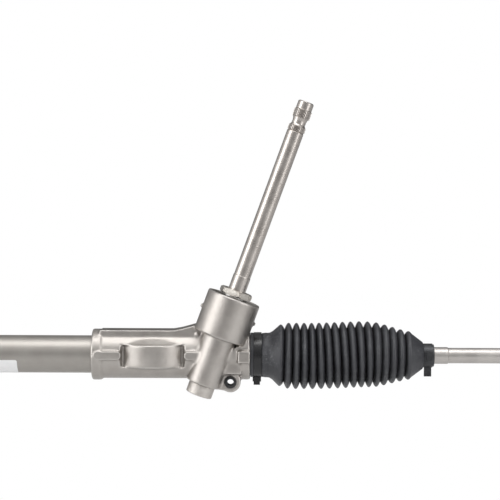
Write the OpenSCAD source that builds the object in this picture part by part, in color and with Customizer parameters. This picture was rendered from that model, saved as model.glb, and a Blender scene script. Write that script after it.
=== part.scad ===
// Manual rack and pinion steering gear with inner ball joints and boots.
// X runs along the rack, Z is up, and the pinion stands in front of the rack, on the -Y side.
// The origin is on the rack's axis, in the middle of the clamp seat on the tube.

/* [Layout] */
// Distance along the rack from the tube's clamp seat to the pinion
pinion_x = 330; // [280:5:400]
// Lean of the pinion from the vertical in degrees, which is also the helix angle of its teeth
pinion_lean = 20; // [10:1:24]
// Distance from the clamp seat's middle to the outer end of the tube
tube_reach = 60; // [52:1:90]
// Travel of the rack to each side of its middle position
rack_travel = 65; // [40:1:75]
// Room left between an inner joint and the housing at full lock
stop_gap = 5.4; // [3:0.1:10]

/* [Gear teeth] */
// Normal module of the teeth
tooth_module = 1.9; // [1.7:0.05:2]
// Number of teeth on the pinion
pinion_teeth = 7; // [6:1:8]
// Normal pressure angle in degrees
pressure_angle = 20; // [18:0.5:22]
// Profile shift of the pinion as a share of the module
profile_shift = 0.52; // [0.5:0.01:0.6]
// Play between the flanks along the rack
backlash = 0.12; // [0.08:0.01:0.3]
// Length of the toothed part of the pinion
pinion_face = 32; // [28:1:34]

/* [Rack bar] */
// Diameter of the rack bar
rack_d = 24; // [22:0.5:25]
// Distance from the bar's axis to the tips of its teeth
rack_flat = 8.6; // [7.5:0.1:9.5]
// Diameter of the threaded ends that carry the inner joints
rack_stud_d = 14; // [10:0.5:16]
// Length of the threaded ends
rack_stud_len = 17; // [10:0.5:19]

/* [Pinion shaft] */
// Height of the shaft's tip above the rack axis, along the shaft
shaft_top = 268; // [240:1:320]
// Diameter of the long plain shaft
shaft_d = 16.9; // [15:0.1:17.6]
// Diameter of the collar above the nut
shaft_collar_d = 17.6; // [17.2:0.1:19.5]
// Diameter under the bearing, the spacer and the nut
bearing_seat_d = 20; // [20:0.1:21]
// Diameter of the bottom journal
journal_d = 12; // [8:0.5:12]
// Tip diameter of the serrations for the column joint
serration_d = 17.8; // [16:0.1:17.9]
// Number of serrations
serration_count = 36; // [24:1:48]
// Diameter of the clamp bolt's groove between the two serrated bands
bolt_groove_d = 13.8; // [11:0.1:14.5]
// Diameter of the smooth pilot at the tip
pilot_d = 16; // [13:0.1:16]

/* [Pinion bearings] */
// Outer diameter of the ball bearing
bearing_od = 47; // [46:0.5:48]
// Width of the ball bearing
bearing_w = 14; // [12:0.5:15]
// Diameter of the balls
ball_d = 7.9; // [6:0.1:8]
// Number of balls
ball_count = 8; // [6:1:9]
// Outer diameter of the spacer sleeve that the seal runs on
spacer_d = 26; // [24:0.5:30]
// Width across the flats of the pinion nut
nut_flats = 30; // [28:0.5:34]
// Thickness of the pinion nut
nut_t = 6; // [5:0.1:8]
// Outer diameter of the bottom bush
bottom_bush_d = 18; // [16:0.5:20]

/* [Gear housing] */
// Diameter of the housing's long barrel
barrel_d = 47.6; // [46:0.2:52]
// Distance from the pinion to the face of the end collar
collar_reach = 120.4; // [112:0.2:140]
// Length of the end collar
collar_len = 10; // [6:0.5:14]
// Diameter of the end collar
collar_d = 51; // [49:0.5:56]
// Distance from the pinion to the face of the short neck on the other side
neck_reach = 37.1; // [34:0.1:50]
// Length of the short neck
neck_len = 8.9; // [6:0.1:10]
// Diameter of the short neck
neck_d = 49.6; // [46:0.2:54]
// Wall of the cup around the ball bearing
cup_wall = 3.3; // [2.8:0.1:5]
// Height of the cup's rim above the rack axis, along the shaft
cup_top = 62.5; // [62:0.1:66]
// Height of the cup's lower edge above the rack axis, along the shaft
cup_bottom = 20.5; // [18:0.5:23]
// Diameter of the tower below the cup
tower_d = 34.4; // [32:0.2:38]
// Distance from the rack axis down to the tower's lower end, along the shaft
tower_drop = 29.2; // [28.8:0.1:32]
// Clear gap round the rack bar inside the housing
rack_room = 0.6; // [0.4:0.1:1]
// Width of the flat rib along the top of the barrel
top_rib_w = 29; // [20:1:32]
// Height of the top rib above the rack axis
top_rib_z = 25.1; // [24.4:0.1:28]

/* [Saddle on the barrel's front] */
// Distance from the pinion back to the middle of the saddle
saddle_back = 59.4; // [56:0.2:62]
// Radius of the saddle's upright drum face
saddle_r = 40; // [36:1:44]
// Distance from the rack axis to the crown of the saddle
saddle_crown = 29.5; // [27:0.5:31]
// Height of the saddle's upright face
saddle_h = 23; // [18:0.5:25]
// Width of the pocket that the saddle sits in
pocket_w = 68; // [64:1:70]
// Distance from the rack axis to the floor of the pocket
pocket_floor = 15.4; // [15.2:0.1:18]

/* [Fixing lug] */
// Distance from the pinion to the lug's bore
lug_x = 17.8; // [16:0.1:20]
// Distance of the lug's bore below the rack axis
lug_drop = 25.8; // [25.4:0.1:30]
// Outer radius of the lug
lug_r = 10.1; // [9:0.1:12]
// Distance from the rack axis forward to the lug's front face
lug_front = 18; // [15:0.5:20]
// Thickness of the lug
lug_t = 14; // [10:0.5:16]
// Outer diameter of the rubber bush
lug_bush_d = 10.2; // [9.6:0.1:11]
// Bore of the rubber bush
lug_bore_d = 6.6; // [5.5:0.1:7.5]

/* [Rack tube] */
// Outer diameter of the tube, which is also the seat of both boots
tube_d = 37.4; // [36:0.2:38.4]
// Wall of the tube
tube_wall = 3; // [2:0.1:3.5]
// Length of tube inside the housing
tube_insert = 28; // [20:1:29]
// Length of the clamp seat between the two rolled beads
clamp_seat_len = 50; // [40:1:60]
// Length of the bush that guides the bar at the tube's outer end
rack_bush_len = 28; // [20:1:40]

/* [Support yoke] */
// Diameter of the yoke
yoke_d = 30; // [28:0.5:32]
// Diameter of the threaded yoke plug
yoke_plug_d = 35; // [33:0.5:37]
// Distance from the rack axis to the rear face of the yoke boss
yoke_boss_y = 40; // [38:1:50]
// Width across the flats of the yoke plug's lock nut
lock_nut_flats = 41; // [41:1:46]
// Thickness of the liner between the yoke and the bar
liner_t = 0.8; // [0.5:0.1:1.5]
// Wire of the yoke spring
spring_wire = 1.8; // [1.4:0.1:2.2]

/* [Inner ball joints] */
// Diameter of the ball
joint_ball_d = 27; // [25:0.5:28]
// Outer diameter of the joint's socket
socket_d = 36; // [35:0.5:38]
// Distance from the ball's centre to the socket's inner end
socket_back = 35; // [34:0.5:40]
// Wall of the plastic ball seat
seat_wall = 1.5; // [1:0.1:2]
// Diameter of the rod's neck at the ball
neck_rod_d = 12.4; // [10:0.2:12.6]
// Diameter of the tie rod
tie_rod_d = 15.4; // [14.4:0.2:16]
// Diameter of the boot's seat on the tie rod
boot_seat_d = 16.8; // [16.2:0.2:18]
// Length of the tie rod from the ball's centre to its tip
tie_rod_len = 250; // [220:1:330]
// Thread diameter at the tip of the tie rod
rod_thread_d = 14; // [12:0.5:14]
// Free length of thread beyond the jam nut
rod_thread_len = 34; // [20:1:50]
// Width across the flats of the jam nut
jam_nut_flats = 22; // [20:0.5:24]
// Thickness of the jam nut
jam_nut_t = 8; // [6:0.5:12]

/* [Boots] */
// Number of folds in each boot
boot_folds = 17; // [10:1:20]
// Radius over the folds
boot_r = 32.6; // [31:0.2:34]
// Radius over the last fold at the tie rod
boot_tip_r = 24.25; // [22:0.25:26]
// Step in radius from fold to fold in the tapered end
boot_step = 2; // [1.5:0.1:3]
// Depth of the folds
boot_fold_depth = 6.4; // [4:0.1:7]
// Wall of the boot
boot_wall = 1.3; // [1:0.1:1.6]
// Wall of the boot's two cuffs
cuff_wall = 2.6; // [2:0.1:3]
// Width of the strap on the wide cuff
strap_w = 7.9; // [6:0.1:9]
// Thickness of the strap on the wide cuff
strap_t = 1.2; // [0.8:0.1:2]
// Length of the tube or neck that the wide cuff covers
boot_seat_len = 12.5; // [12:0.5:16]
// Width of the clamp on the narrow cuff
small_clamp_w = 9; // [7:0.1:9.4]
// Distance from the ball's centre to the outer end of the boot
boot_end = 66; // [60:1:80]

/* [Hidden] */
$fn = 96;

// Clearances: a seat that stays put, and a part that runs in another
seat_gap = 0.02;
run_gap = 0.05;
soft_gap = 0.2;
cut = 1;

// Gear geometry
gear_pitch = PI * tooth_module;
gear_r = pinion_teeth * tooth_module / (2 * cos(pinion_lean));
face_angle = atan(tan(pressure_angle) / cos(pinion_lean));
base_r = gear_r * cos(face_angle);
addendum = 0.9 * tooth_module;
dedendum = 1.15 * tooth_module;
gear_tip_r = gear_r + addendum + profile_shift * tooth_module;
gear_root_r = gear_r - dedendum + profile_shift * tooth_module;
rack_line = rack_flat - addendum;
pinion_y = -(rack_line + gear_r + profile_shift * tooth_module);
rack_teeth = 2 * ceil((rack_travel + pinion_face / 2) / gear_pitch) + 1;

// Stations along the rack
barrel_r = barrel_d / 2;
collar_x = pinion_x - collar_reach;
neck_x = pinion_x + neck_reach;
right_end_x = neck_x + boot_seat_len;
right_ball_x = right_end_x + rack_travel + stop_gap + socket_back;
left_ball_x = -tube_reach - rack_travel - stop_gap - socket_back;
tube_r = tube_d / 2;
rack_r = rack_d / 2;
bead_r = 1.6;

// Features of the housing
edge_r = 1.5;
rib_half = top_rib_w / 2;
rib_spread = 2;
cup_d = bearing_od + 2 * cup_wall;
cup_edge_x = pinion_x + cup_bottom * sin(pinion_lean) - cup_d / 2 * cos(pinion_lean);
wedge_rise = 6;
wedge_len = 24;
saddle_x = pinion_x - saddle_back;
pocket_slant = 6;
brow_r = 105;
brow_out = 1.7;
brow_back = 9.4;
brow_h = 6;
pad_half = 4.3;
pad_len = 27;
pad_y = collar_d / 2 + 0.5;
tower_side_x = pinion_x + tower_d / 2 - 3.2;
neck_pad_w = 12;
boss_r = 21.5;

// Stations along the pinion shaft, measured up from the rack axis
bearing_z = 30;
bearing_top = bearing_z + bearing_w;
circlip_t = 1.8;
circlip_w = 3.2;
lug_flange_r = lug_bush_d / 2 + 0.3;
circlip_bite = 1;
nut_z = cup_top + 1.2;
nut_turn = -18.6;
nut_top = nut_z + nut_t;
collar_top = nut_top + 14.5;
lower_band_z = shaft_top - 31;
lower_band_len = 6;
bolt_groove_z = lower_band_z + 7.6;
bolt_groove_len = 5;
upper_band_z = shaft_top - 17;
upper_band_len = 9;
bottom_bush_len = tower_drop - pinion_face / 2 - 3.7;
cap_len = 11.6;
cap_r = 13.2;
ball_track_r = (bearing_od + bearing_seat_d) / 4;
ring_wall = (bearing_od - bearing_seat_d) / 4 - ball_d * 0.3;

// Yoke stations, measured back from the rack axis
yoke_front = 3.5;
yoke_len = 22;
plug_front = yoke_front + yoke_len + 1.2;
plug_key_d = 17;
plug_key_depth = 7;
lock_nut_t = 6;
spring_r = 6.4;
spring_seat = yoke_front + 13;

// Tie rod stations, measured out from the ball's centre
thread_root_r = rod_thread_d / 2 - 0.3;
nut_start = tie_rod_len - rod_thread_len - jam_nut_t;

// Boot stations, measured out from the face that its wide cuff stands against
boot_len = right_ball_x + boot_end - neck_x;
boot_first = 30;
boot_last = boot_len - 25.5;
boot_pitch = (boot_last - boot_first) / (boot_folds - 1);
strap_start = 3.6;
wide_cuff_r = tube_r + cuff_wall;
small_cuff_r = boot_seat_d / 2 + soft_gap + cuff_wall - 0.4;
small_cuff_len = 10.7;

module along_x(x) {
    translate([x, 0, 0])
        rotate([0, 90, 0])
            children();
}

// Places a part drawn along +Z at a joint, pointing away from the housing on the given side
module at_joint(side) {
    ball_x = side > 0 ? right_ball_x : left_ball_x;
    translate([ball_x, 0, 0])
        rotate([0, 90 * side, 0])
            children();
}

// Places a part drawn along +Z on a boot's seat, starting at the face its wide cuff stands against
module at_boot(side) {
    seat_x = side > 0 ? neck_x : boot_seat_len - tube_reach;
    translate([seat_x, 0, 0])
        rotate([0, 90 * side, 0])
            children();
}

// Places a part drawn along +Z on the leaning pinion axis, with its zero level with the rack axis
module on_pinion() {
    translate([pinion_x, pinion_y, 0])
        rotate([0, pinion_lean, 0])
            children();
}

// Places a part drawn along +Z on the yoke's axis, which points back from the rack
module on_yoke() {
    translate([pinion_x, 0, 0])
        rotate([-90, 0, 0])
            children();
}

module ring(outer_r, inner_r, z, len) {
    translate([0, 0, z])
        difference() {
            cylinder(r = outer_r, h = len);
            translate([0, 0, -cut])
                cylinder(r = inner_r, h = len + 2 * cut);
        }
}

// Disc with both edges rounded
module soft_disc(r, z, len, edge) {
    translate([0, 0, z])
        rotate_extrude()
            union() {
                square([r - edge, len]);
                translate([0, edge])
                    square([r, len - 2 * edge]);
                translate([r - edge, edge])
                    circle(edge);
                translate([r - edge, len - edge])
                    circle(edge);
            }
}

// Hexagon with its corners turned off, as on a nut
module hex_body(flats, z, len) {
    corner_r = flats / sqrt(3);
    chamfer = corner_r - flats / 2;
    translate([0, 0, z])
        intersection() {
            cylinder(r = corner_r, h = len, $fn = 6);
            rotate_extrude()
                polygon([
                    [0, 0], [flats / 2, 0], [corner_r + 0.1, chamfer * 0.6],
                    [corner_r + 0.1, len - chamfer * 0.6], [flats / 2, len], [0, len]
                ]);
        }
}

module stadium(len, half_w) {
    translate([half_w, -half_w])
        square([len - 2 * half_w, 2 * half_w]);
    translate([half_w, 0])
        circle(half_w);
    translate([len - half_w, 0])
        circle(half_w);
}

// Draws an outline seen from the front, given in X and Z, between two depths
module front_slab(y_front, y_back) {
    translate([0, y_back, 0])
        rotate([90, 0, 0])
            linear_extrude(height = y_back - y_front)
                children();
}

// Gear teeth

function involute_angle(r) = let (a = acos(min(1, base_r / r))) tan(a) * 180 / PI - a;
function tooth_half_angle(r) =
    let (
        pitch_thickness = (PI / 2 + 2 * profile_shift * tan(pressure_angle))
            * tooth_module / cos(pinion_lean),
        half_at_pitch = pitch_thickness / (2 * gear_r) * 180 / PI
    )
    half_at_pitch + involute_angle(gear_r) - involute_angle(r);
function polar(r, a) = [r * cos(a), r * sin(a)];

flank_steps = 5;
flank_radii = [for (i = [0:flank_steps]) base_r + (gear_tip_r - base_r) * pow(i / flank_steps, 1.4)];
gear_points = [
    for (k = [0:pinion_teeth - 1])
        let (a = 90 + k * 360 / pinion_teeth)
        each concat(
            [polar(gear_root_r, a - tooth_half_angle(base_r) - 3)],
            [polar(gear_root_r, a - tooth_half_angle(base_r))],
            [for (r = flank_radii) polar(r, a - tooth_half_angle(r))],
            [for (i = [flank_steps:-1:0]) polar(flank_radii[i], a + tooth_half_angle(flank_radii[i]))],
            [polar(gear_root_r, a + tooth_half_angle(base_r))],
            [polar(gear_root_r, a + tooth_half_angle(base_r) + 3)]
        )
];

module pinion_teeth_solid() {
    turn = pinion_face * tan(pinion_lean) / gear_r * 180 / PI;
    translate([0, 0, -pinion_face / 2])
        rotate([0, 0, -turn / 2])
            linear_extrude(height = pinion_face, twist = -turn, slices = 16)
                polygon(gear_points);
}

// Outline of what is milled off the bar's front to leave its teeth, in X and Y
module tooth_spaces() {
    slope = tan(pressure_angle);
    half_space = gear_pitch / 4 + backlash / 2;
    half_mouth = half_space + addendum * slope;
    half_root = half_space - dedendum * slope;
    first = -(rack_teeth - 1) / 2;
    last = (rack_teeth - 1) / 2;
    polygon(concat(
        [[pinion_x + first * gear_pitch - half_mouth, -rack_r - cut]],
        [
            for (i = [first:last])
                let (x = pinion_x + i * gear_pitch)
                each [
                    [x - half_mouth, -rack_flat],
                    [x - half_root, -(rack_line - dedendum)],
                    [x + half_root, -(rack_line - dedendum)],
                    [x + half_mouth, -rack_flat]
                ]
        ],
        [[pinion_x + last * gear_pitch + half_mouth, -rack_r - cut]]
    ));
}

// Gear housing

module barrel_body() {
    rib_x = collar_x + collar_len - rib_spread;
    along_x(collar_x)
        soft_disc(collar_d / 2, 0, collar_len, edge_r);
    along_x(rib_x)
        cylinder(r = barrel_r, h = pinion_x - rib_x + tower_d / 4);
    // Flat rib along the top, which climbs to the cup
    along_x(rib_x)
        rotate([0, 0, 90])
            linear_extrude(height = pinion_x - rib_x - 5)
                polygon([
                    [-rib_half - rib_spread, barrel_r / 3], [-rib_half, top_rib_z],
                    [rib_half, top_rib_z], [rib_half + rib_spread, barrel_r / 3], [0, 0]
                ]);
    front_slab(-rib_half, rib_half)
        polygon([
            [cup_edge_x - wedge_len, barrel_r / 2], [cup_edge_x - wedge_len, top_rib_z - 0.4],
            [cup_edge_x - wedge_len / 2, top_rib_z + wedge_rise * 0.3],
            [cup_edge_x + 3, top_rib_z + wedge_rise], [pinion_x, top_rib_z + wedge_rise],
            [pinion_x, barrel_r / 2]
        ]);
    translate([cup_edge_x + 2.5, -rib_half, top_rib_z - wedge_rise * 0.6])
        sphere(r = 2.2);
}

module front_pads() {
    for (x = [collar_x + 3, saddle_x + pocket_w / 2 - 3])
        front_slab(-pad_y, -barrel_r + 4)
            translate([x, 1])
                stadium(pad_len, pad_half);
}

module pocket_cut() {
    half = pocket_w / 2;
    mouth_y = -barrel_r - pad_half;
    translate([saddle_x, 0, -saddle_h / 2])
        linear_extrude(height = saddle_h)
            polygon([
                [-half, mouth_y], [-half + pocket_slant / 2, -barrel_r + 4],
                [-half + pocket_slant, -pocket_floor], [half - pocket_slant, -pocket_floor],
                [half - pocket_slant / 2, -barrel_r + 4], [half, mouth_y]
            ]);
}

// Drum-shaped saddle with an upright face, under a low brow that runs back into the barrel
module saddle() {
    half_h = saddle_h / 2;
    axis_y = saddle_r - saddle_crown;
    foot_h = 1.4;
    foot_back = 9;
    intersection() {
        translate([saddle_x, axis_y, -half_h]) {
            cylinder(r = saddle_r, h = saddle_h);
            translate([0, 0, -foot_h])
                cylinder(r1 = saddle_r - foot_back, r2 = saddle_r, h = foot_h + cut);
        }
        translate([saddle_x - pocket_w / 2, -saddle_crown - cut, -barrel_r])
            cube([pocket_w, saddle_crown - pocket_floor + brow_h, 2 * barrel_r]);
        along_x(saddle_x - pocket_w / 2)
            ring(2 * saddle_crown, pocket_floor - 0.6, 0, pocket_w);
    }
    intersection() {
        translate([saddle_x, brow_r - barrel_r - brow_out, half_h - 0.2])
            cylinder(r1 = brow_r, r2 = brow_r - brow_back, h = brow_h + 0.2);
        translate([saddle_x - pocket_w / 2, -saddle_crown, 0])
            cube([pocket_w, saddle_crown - pocket_floor + brow_h, barrel_r]);
    }
}

module tower_body() {
    tab_r = 1.6;
    on_pinion() {
        translate([0, 0, -tower_drop])
            cylinder(r = tower_d / 2, h = tower_drop + cup_bottom + cup_wall);
        soft_disc(cup_d / 2, cup_bottom, cup_top - cup_bottom, edge_r);
        // Small tabs on both sides of the cup
        translate([0, 0, bearing_top])
            rotate([0, 90, 0])
                cylinder(r = tab_r, h = cup_d + 4, center = true);
    }
}

module neck_body() {
    front_y = -neck_d / 2;
    back_x = neck_x - neck_len;
    shoulder_h = 27;
    shoulder_low = 17.5;
    shoulder_back = 3.3;
    along_x(pinion_x)
        cylinder(r = boss_r, h = back_x - pinion_x + cut);
    along_x(back_x)
        soft_disc(neck_d / 2, 0, neck_len, edge_r);
    along_x(neck_x - cut)
        cylinder(r = tube_r, h = boot_seat_len + cut);
    // Flat-faced shoulder beside the tower
    translate([pinion_x + rib_spread, front_y + shoulder_back, -shoulder_low])
        cube([back_x - pinion_x - rib_spread, neck_d / 2, shoulder_h]);
    // Curved web from the tower to the neck
    front_slab(front_y + 1.3, front_y + 17)
        polygon([
            [tower_side_x, -4], [tower_side_x + 2, 0], [tower_side_x + 6.6, 7],
            [tower_side_x + 10.2, 10.5], [neck_x - 6.1, 10.8], [neck_x - 2.1, 16],
            [neck_x - 0.6, 20.5], [neck_x - 0.6, -4]
        ]);
    // Square pad on the front of the neck
    translate([neck_x - neck_pad_w, front_y - 1.6, -neck_pad_w / 2])
        cube([neck_pad_w - 0.2, neck_len, neck_pad_w]);
}

module lug_body() {
    lug_top = 5.2;
    root_back = 3.5;
    translate([pinion_x + lug_x, 0, -lug_drop]) {
        front_slab(-lug_front, lug_t - lug_front) {
            circle(lug_r);
            // Straight edges towards the shoulder and the tower
            polygon([
                [1.2 - lug_top - lug_r / 4, lug_top], [lug_r, lug_top], [lug_r, 0],
                [0, 1 - lug_r], [-lug_r / 2, 1.7 - lug_r], [-lug_r - 2, -lug_top - 2]
            ]);
        }
        front_slab(root_back - lug_front, lug_t - lug_front)
            translate([-lug_r, 0])
                square([2 * lug_r, lug_drop - rack_r]);
    }
}

module yoke_boss() {
    on_yoke()
        soft_disc(boss_r, 0, yoke_boss_y, 1);
}

module housing_bores() {
    // Bar, tube and the open end at the neck
    along_x(collar_x - cut)
        cylinder(r = rack_r + rack_room, h = collar_reach + neck_reach + boot_seat_len + 2 * cut);
    along_x(collar_x - cut)
        cylinder(r = tube_r + seat_gap, h = tube_insert + cut);
    on_pinion() {
        translate([0, 0, -tower_drop - cut])
            cylinder(r = bottom_bush_d / 2 + seat_gap, h = tower_drop);
        translate([0, 0, -pinion_face / 2 - 3])
            cylinder(r = gear_tip_r + rack_room, h = pinion_face / 2 + 3 + bearing_z + cut);
        translate([0, 0, pinion_face / 2 + 1])
            cylinder(r = gear_tip_r + 3.2, h = bearing_z);
        translate([0, 0, bearing_z])
            cylinder(r = bearing_od / 2 + seat_gap, h = cup_top);
        translate([0, 0, bearing_top + run_gap])
            cylinder(r = bearing_od / 2 + circlip_bite + soft_gap, h = circlip_t + 2 * run_gap);
    }
    on_yoke() {
        cylinder(r = yoke_d / 2 + run_gap, h = yoke_boss_y);
        translate([0, 0, plug_front - 1])
            cylinder(r = yoke_plug_d / 2 + seat_gap, h = yoke_boss_y);
    }
    translate([pinion_x + lug_x, 0, -lug_drop])
        rotate([90, 0, 0]) {
            cylinder(r = lug_bush_d / 2 + seat_gap, h = neck_d);
            // Room behind the lug for the bush's rear flange
            cylinder(r = lug_flange_r + 0.4, h = lug_front - lug_t);
        }
}

module gear_housing() {
    color([0.74, 0.72, 0.7])
        difference() {
            union() {
                difference() {
                    barrel_body();
                    pocket_cut();
                }
                saddle();
                front_pads();
                tower_body();
                neck_body();
                lug_body();
                yoke_boss();
            }
            housing_bores();
        }
}

module bottom_cap() {
    color([0.76, 0.74, 0.72])
        on_pinion()
            translate([0, 0, -tower_drop - cap_len])
                difference() {
                    union() {
                        soft_disc(cap_r, 0, cap_len - seat_gap, 1.2);
                        translate([0, 0, cap_len - 1])
                            cylinder(r = bottom_bush_d / 2 - 0.1, h = 3.4);
                    }
                    translate([0, 0, 3])
                        cylinder(r = journal_d / 2 + 1, h = cap_len);
                }
}

module bottom_bush() {
    color([0.7, 0.55, 0.3])
        on_pinion()
            ring(bottom_bush_d / 2, journal_d / 2 + run_gap, 3 - tower_drop, bottom_bush_len);
}

// Tube, its bush and the lug's rubber bush

module rack_tube() {
    tube_len = tube_reach + collar_x + tube_insert;
    color([0.68, 0.67, 0.65])
        along_x(-tube_reach)
            union() {
                ring(tube_r, tube_r - tube_wall, 0, tube_len);
                // Rolled beads that keep the clamp in place
                for (side = [-1, 1])
                    translate([0, 0, tube_reach + side * (clamp_seat_len / 2 + bead_r)])
                        rotate_extrude()
                            translate([tube_r - 0.8, 0])
                                circle(bead_r);
            }
}

module rack_bush() {
    color([0.9, 0.88, 0.8])
        along_x(2 - tube_reach)
            ring(tube_r - tube_wall - seat_gap, rack_r + run_gap, 0, rack_bush_len);
}

module lug_bush() {
    flange_t = 1;
    color([0.07, 0.07, 0.08])
        translate([pinion_x + lug_x, -lug_front - flange_t, -lug_drop])
            rotate([-90, 0, 0])
                difference() {
                    union() {
                        cylinder(r = lug_bush_d / 2, h = lug_t + 2 * flange_t);
                        for (z = [0, lug_t + flange_t + seat_gap])
                            translate([0, 0, z])
                                cylinder(r = lug_flange_r, h = flange_t - seat_gap);
                    }
                    translate([0, 0, -cut])
                        cylinder(r = lug_bore_d / 2, h = lug_t + 2 * flange_t + 2 * cut);
                }
}

// Ball bearing, seal and nut on the pinion

module ball_groove() {
    translate([0, 0, bearing_z + bearing_w / 2])
        rotate_extrude()
            translate([ball_track_r, 0])
                circle(ball_d / 2 + run_gap);
}

module bearing_outer_ring() {
    color([0.75, 0.76, 0.78])
        on_pinion()
            difference() {
                ring(bearing_od / 2, bearing_od / 2 - ring_wall, bearing_z, bearing_w);
                ball_groove();
            }
}

module bearing_inner_ring() {
    color([0.75, 0.76, 0.78])
        on_pinion()
            difference() {
                ring(bearing_seat_d / 2 + ring_wall, bearing_seat_d / 2 + seat_gap, bearing_z, bearing_w);
                ball_groove();
            }
}

module at_balls() {
    for (i = [0:ball_count - 1])
        rotate([0, 0, i * 360 / ball_count])
            translate([ball_track_r, 0, bearing_z + bearing_w / 2])
                children();
}

module bearing_balls() {
    color([0.85, 0.86, 0.88])
        on_pinion()
            at_balls()
                sphere(d = ball_d);
}

module bearing_cage() {
    cage_half = 1.1;
    side_gap = 1.6;
    color([0.7, 0.6, 0.35])
        on_pinion()
            difference() {
                ring(
                    ball_track_r + cage_half, ball_track_r - cage_half,
                    bearing_z + side_gap, bearing_w - 2 * side_gap
                );
                at_balls()
                    rotate([0, 90, 0])
                        cylinder(r = ball_d / 2 + run_gap, h = 6, center = true);
            }
}

module bearing_circlip() {
    color([0.3, 0.3, 0.32])
        on_pinion()
            translate([0, 0, bearing_top + 2 * run_gap])
                rotate([0, 0, 20])
                    rotate_extrude(angle = 320)
                        translate([bearing_od / 2 + circlip_bite - circlip_w, 0])
                            square([circlip_w, circlip_t]);
}

module pinion_spacer() {
    color([0.72, 0.73, 0.75])
        on_pinion()
            ring(
                spacer_d / 2, bearing_seat_d / 2 + seat_gap,
                bearing_top + seat_gap, nut_z - bearing_top - 2 * seat_gap
            );
}

module pinion_seal() {
    seal_z = bearing_top + circlip_t + 1;
    seal_top = cup_top - 3.5;
    color([0.06, 0.06, 0.07])
        on_pinion()
            translate([0, 0, seal_z])
                rotate_extrude()
                    polygon([
                        [spacer_d / 2 + 2.4, 0], [bearing_od / 2, 0], [bearing_od / 2, seal_top - seal_z],
                        [spacer_d / 2 + 3.4, seal_top - seal_z], [spacer_d / 2 + 2, seal_top - seal_z - 2],
                        [spacer_d / 2 + run_gap, seal_top - seal_z - 2.6],
                        [spacer_d / 2 + run_gap, seal_top - seal_z - 4], [spacer_d / 2 + 2.4, 4]
                    ]);
}

module pinion_nut() {
    color([0.72, 0.7, 0.66])
        on_pinion()
            difference() {
                rotate([0, 0, nut_turn])
                    hex_body(nut_flats, nut_z, nut_t);
                translate([0, 0, nut_z - cut])
                    cylinder(r = bearing_seat_d / 2 + seat_gap, h = nut_t + 2 * cut);
            }
}

// Pinion shaft

module serrated_band(z, len, tip_r) {
    root_r = tip_r - 0.65;
    step = 360 / serration_count;
    translate([0, 0, z])
        intersection() {
            linear_extrude(height = len)
                polygon([
                    for (i = [0:serration_count - 1])
                        each [
                            polar(root_r, i * step), polar(tip_r, (i + 0.35) * step),
                            polar(tip_r, (i + 0.65) * step)
                        ]
                ]);
            rotate_extrude()
                polygon([
                    [0, 0], [root_r - 0.2, 0], [tip_r + 0.1, 0.9],
                    [tip_r + 0.1, len - 0.9], [root_r - 0.2, len], [0, len]
                ]);
        }
}

module pinion_shaft() {
    journal_bottom = -tower_drop - 2;
    color([0.78, 0.76, 0.74])
        on_pinion()
            union() {
                pinion_teeth_solid();
                translate([0, 0, journal_bottom])
                    cylinder(r = journal_d / 2 - run_gap / 2, h = -journal_bottom - pinion_face / 2 + 0.5);
                translate([0, 0, pinion_face / 2 - 0.5])
                    cylinder(r = bearing_seat_d / 2, h = nut_top - pinion_face / 2 + 0.5);
                // Shoulder under the bearing's inner ring
                translate([0, 0, bearing_z - 4])
                    cylinder(r = bearing_seat_d / 2 + 2, h = 4 - seat_gap);
                translate([0, 0, nut_top - 0.5])
                    cylinder(d = shaft_collar_d, h = collar_top - nut_top + 0.5);
                rotate_extrude()
                    polygon([
                        [0, collar_top - 1], [shaft_collar_d / 2, collar_top - 1],
                        [shaft_collar_d / 2, collar_top], [shaft_d / 2, collar_top + 0.8],
                        [shaft_d / 2, lower_band_z - 0.8], [shaft_d / 2 - 0.6, lower_band_z],
                        [shaft_d / 2 - 0.6, bolt_groove_z - 1.5], [bolt_groove_d / 2, bolt_groove_z],
                        [bolt_groove_d / 2, bolt_groove_z + bolt_groove_len - 1.4],
                        [pilot_d / 2 - 0.4, upper_band_z], [pilot_d / 2 - 0.4, upper_band_z + 1],
                        [0, upper_band_z + 1]
                    ]);
                serrated_band(lower_band_z, lower_band_len, serration_d / 2 - 0.1);
                serrated_band(upper_band_z, upper_band_len, serration_d / 2);
                translate([0, 0, upper_band_z + upper_band_len - 1])
                    cylinder(d = pilot_d, h = shaft_top - upper_band_z - upper_band_len);
                translate([0, 0, shaft_top - 1])
                    rotate_extrude()
                        polygon([[0, 0], [pilot_d / 2, 0], [pilot_d / 2 - 1, 1], [0, 1]]);
            }
}

// Support yoke behind the bar

module yoke() {
    color([0.6, 0.6, 0.62])
        difference() {
            on_yoke()
                difference() {
                    soft_disc(yoke_d / 2, yoke_front, yoke_len, 0.6);
                    translate([0, 0, spring_seat])
                        cylinder(r = spring_r + spring_wire / 2 + 0.6, h = yoke_len);
                    // Groove for the O-ring
                    ring(yoke_d / 2 + cut, yoke_d / 2 - 1.9, yoke_front + 16, 2.6);
                }
            along_x(pinion_x - yoke_d)
                cylinder(r = rack_r + run_gap + liner_t + seat_gap, h = 2 * yoke_d);
        }
}

module yoke_liner() {
    liner_half = 13;
    color([0.85, 0.82, 0.7])
        intersection() {
            along_x(pinion_x - liner_half / 2)
                ring(rack_r + run_gap + liner_t, rack_r + run_gap, 0, liner_half);
            translate([pinion_x, yoke_front + 0.5 + yoke_d / 2, 0])
                cube(yoke_d, center = true);
        }
}

module yoke_o_ring() {
    color([0.06, 0.06, 0.07])
        on_yoke()
            translate([0, 0, yoke_front + 17.3])
                rotate_extrude()
                    translate([yoke_d / 2 - 0.95, 0])
                        circle(0.9);
}

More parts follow.
